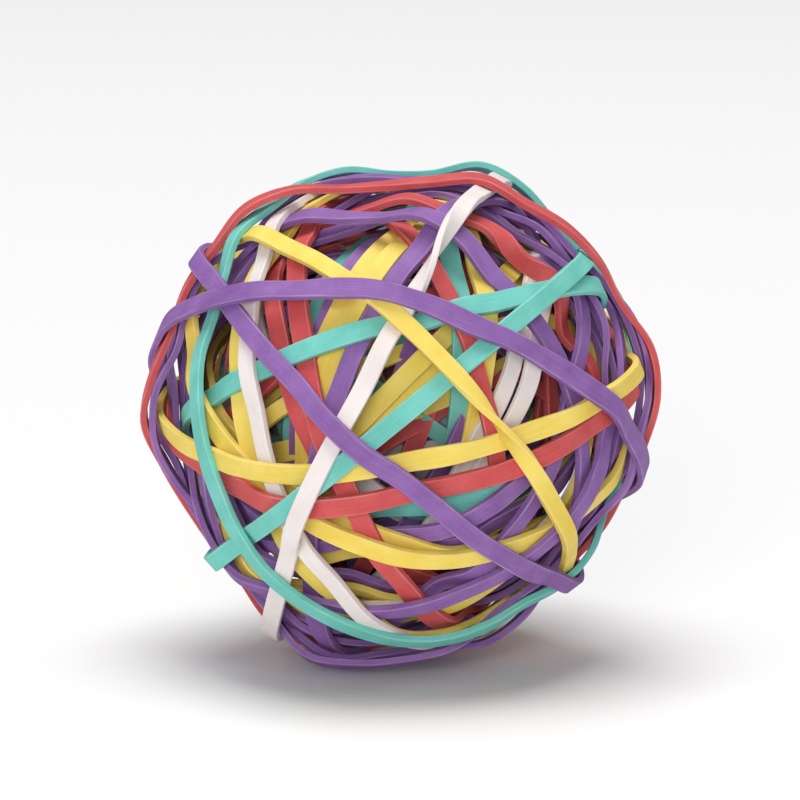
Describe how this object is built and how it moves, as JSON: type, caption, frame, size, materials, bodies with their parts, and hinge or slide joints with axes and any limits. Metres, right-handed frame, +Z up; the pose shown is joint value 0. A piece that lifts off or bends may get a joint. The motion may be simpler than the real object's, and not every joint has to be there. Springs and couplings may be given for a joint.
{
  "type": "rubber band ball",
  "caption": "Desk ball wound from stretched flat rubber bands in purple, yellow, teal, red and off-white, crossing over each other in every direction.",
  "frame": {"origin": "middle of the outer box at the height of the ball's lowest place, where a table would touch it", "axes": "+Z up, -Y towards the side shown in the picture, +X to the right of that side"},
  "size_m": [0.0692, 0.0678, 0.0654],
  "materials": {
    "purple_rubber": "matt natural rubber, dyed purple",
    "yellow_rubber": "matt natural rubber, dyed yellow",
    "teal_rubber": "matt natural rubber, dyed teal",
    "red_rubber": "matt natural rubber, dyed red",
    "white_rubber": "matt natural rubber, off-white"
  },
  "bodies": {
    "root": {"inner_winding": "purple_rubber", "purple_band_01": "purple_rubber", "purple_band_02": "purple_rubber", "purple_band_03": "purple_rubber", "purple_band_04": "purple_rubber", "purple_band_05": "purple_rubber", "purple_band_06": "purple_rubber", "purple_band_07": "purple_rubber", "purple_band_08": "purple_rubber", "purple_band_09": "purple_rubber", "purple_band_10": "purple_rubber", "purple_band_11": "purple_rubber", "purple_band_12": "purple_rubber", "purple_band_13": "purple_rubber", "purple_band_14": "purple_rubber", "purple_band_15": "purple_rubber", "purple_band_16": "purple_rubber", "purple_band_17": "purple_rubber", "yellow_band_01": "yellow_rubber", "yellow_band_02": "yellow_rubber", "yellow_band_03": "yellow_rubber", "yellow_band_04": "yellow_rubber", "yellow_band_05": "yellow_rubber", "yellow_band_06": "yellow_rubber", "yellow_band_07": "yellow_rubber", "yellow_band_08": "yellow_rubber", "yellow_band_09": "yellow_rubber", "yellow_band_10": "yellow_rubber", "yellow_band_11": "yellow_rubber", "yellow_band_12": "yellow_rubber", "yellow_band_13": "yellow_rubber", "yellow_band_14": "yellow_rubber", "teal_band_01": "teal_rubber", "teal_band_02": "teal_rubber", "teal_band_03": "teal_rubber", "teal_band_04": "teal_rubber", "teal_band_05": "teal_rubber", "teal_band_06": "teal_rubber", "red_band_01": "red_rubber", "red_band_02": "red_rubber", "red_band_03": "red_rubber", "red_band_04": "red_rubber", "red_band_05": "red_rubber", "red_band_06": "red_rubber", "red_band_07": "red_rubber", "red_band_08": "red_rubber", "red_band_09": "red_rubber", "red_band_10": "red_rubber", "white_band_01": "white_rubber", "white_band_02": "white_rubber", "white_band_03": "white_rubber", "white_band_04": "white_rubber", "white_band_05": "white_rubber", "white_band_06": "white_rubber", "white_band_07": "white_rubber"}
  },
  "joints": []
}
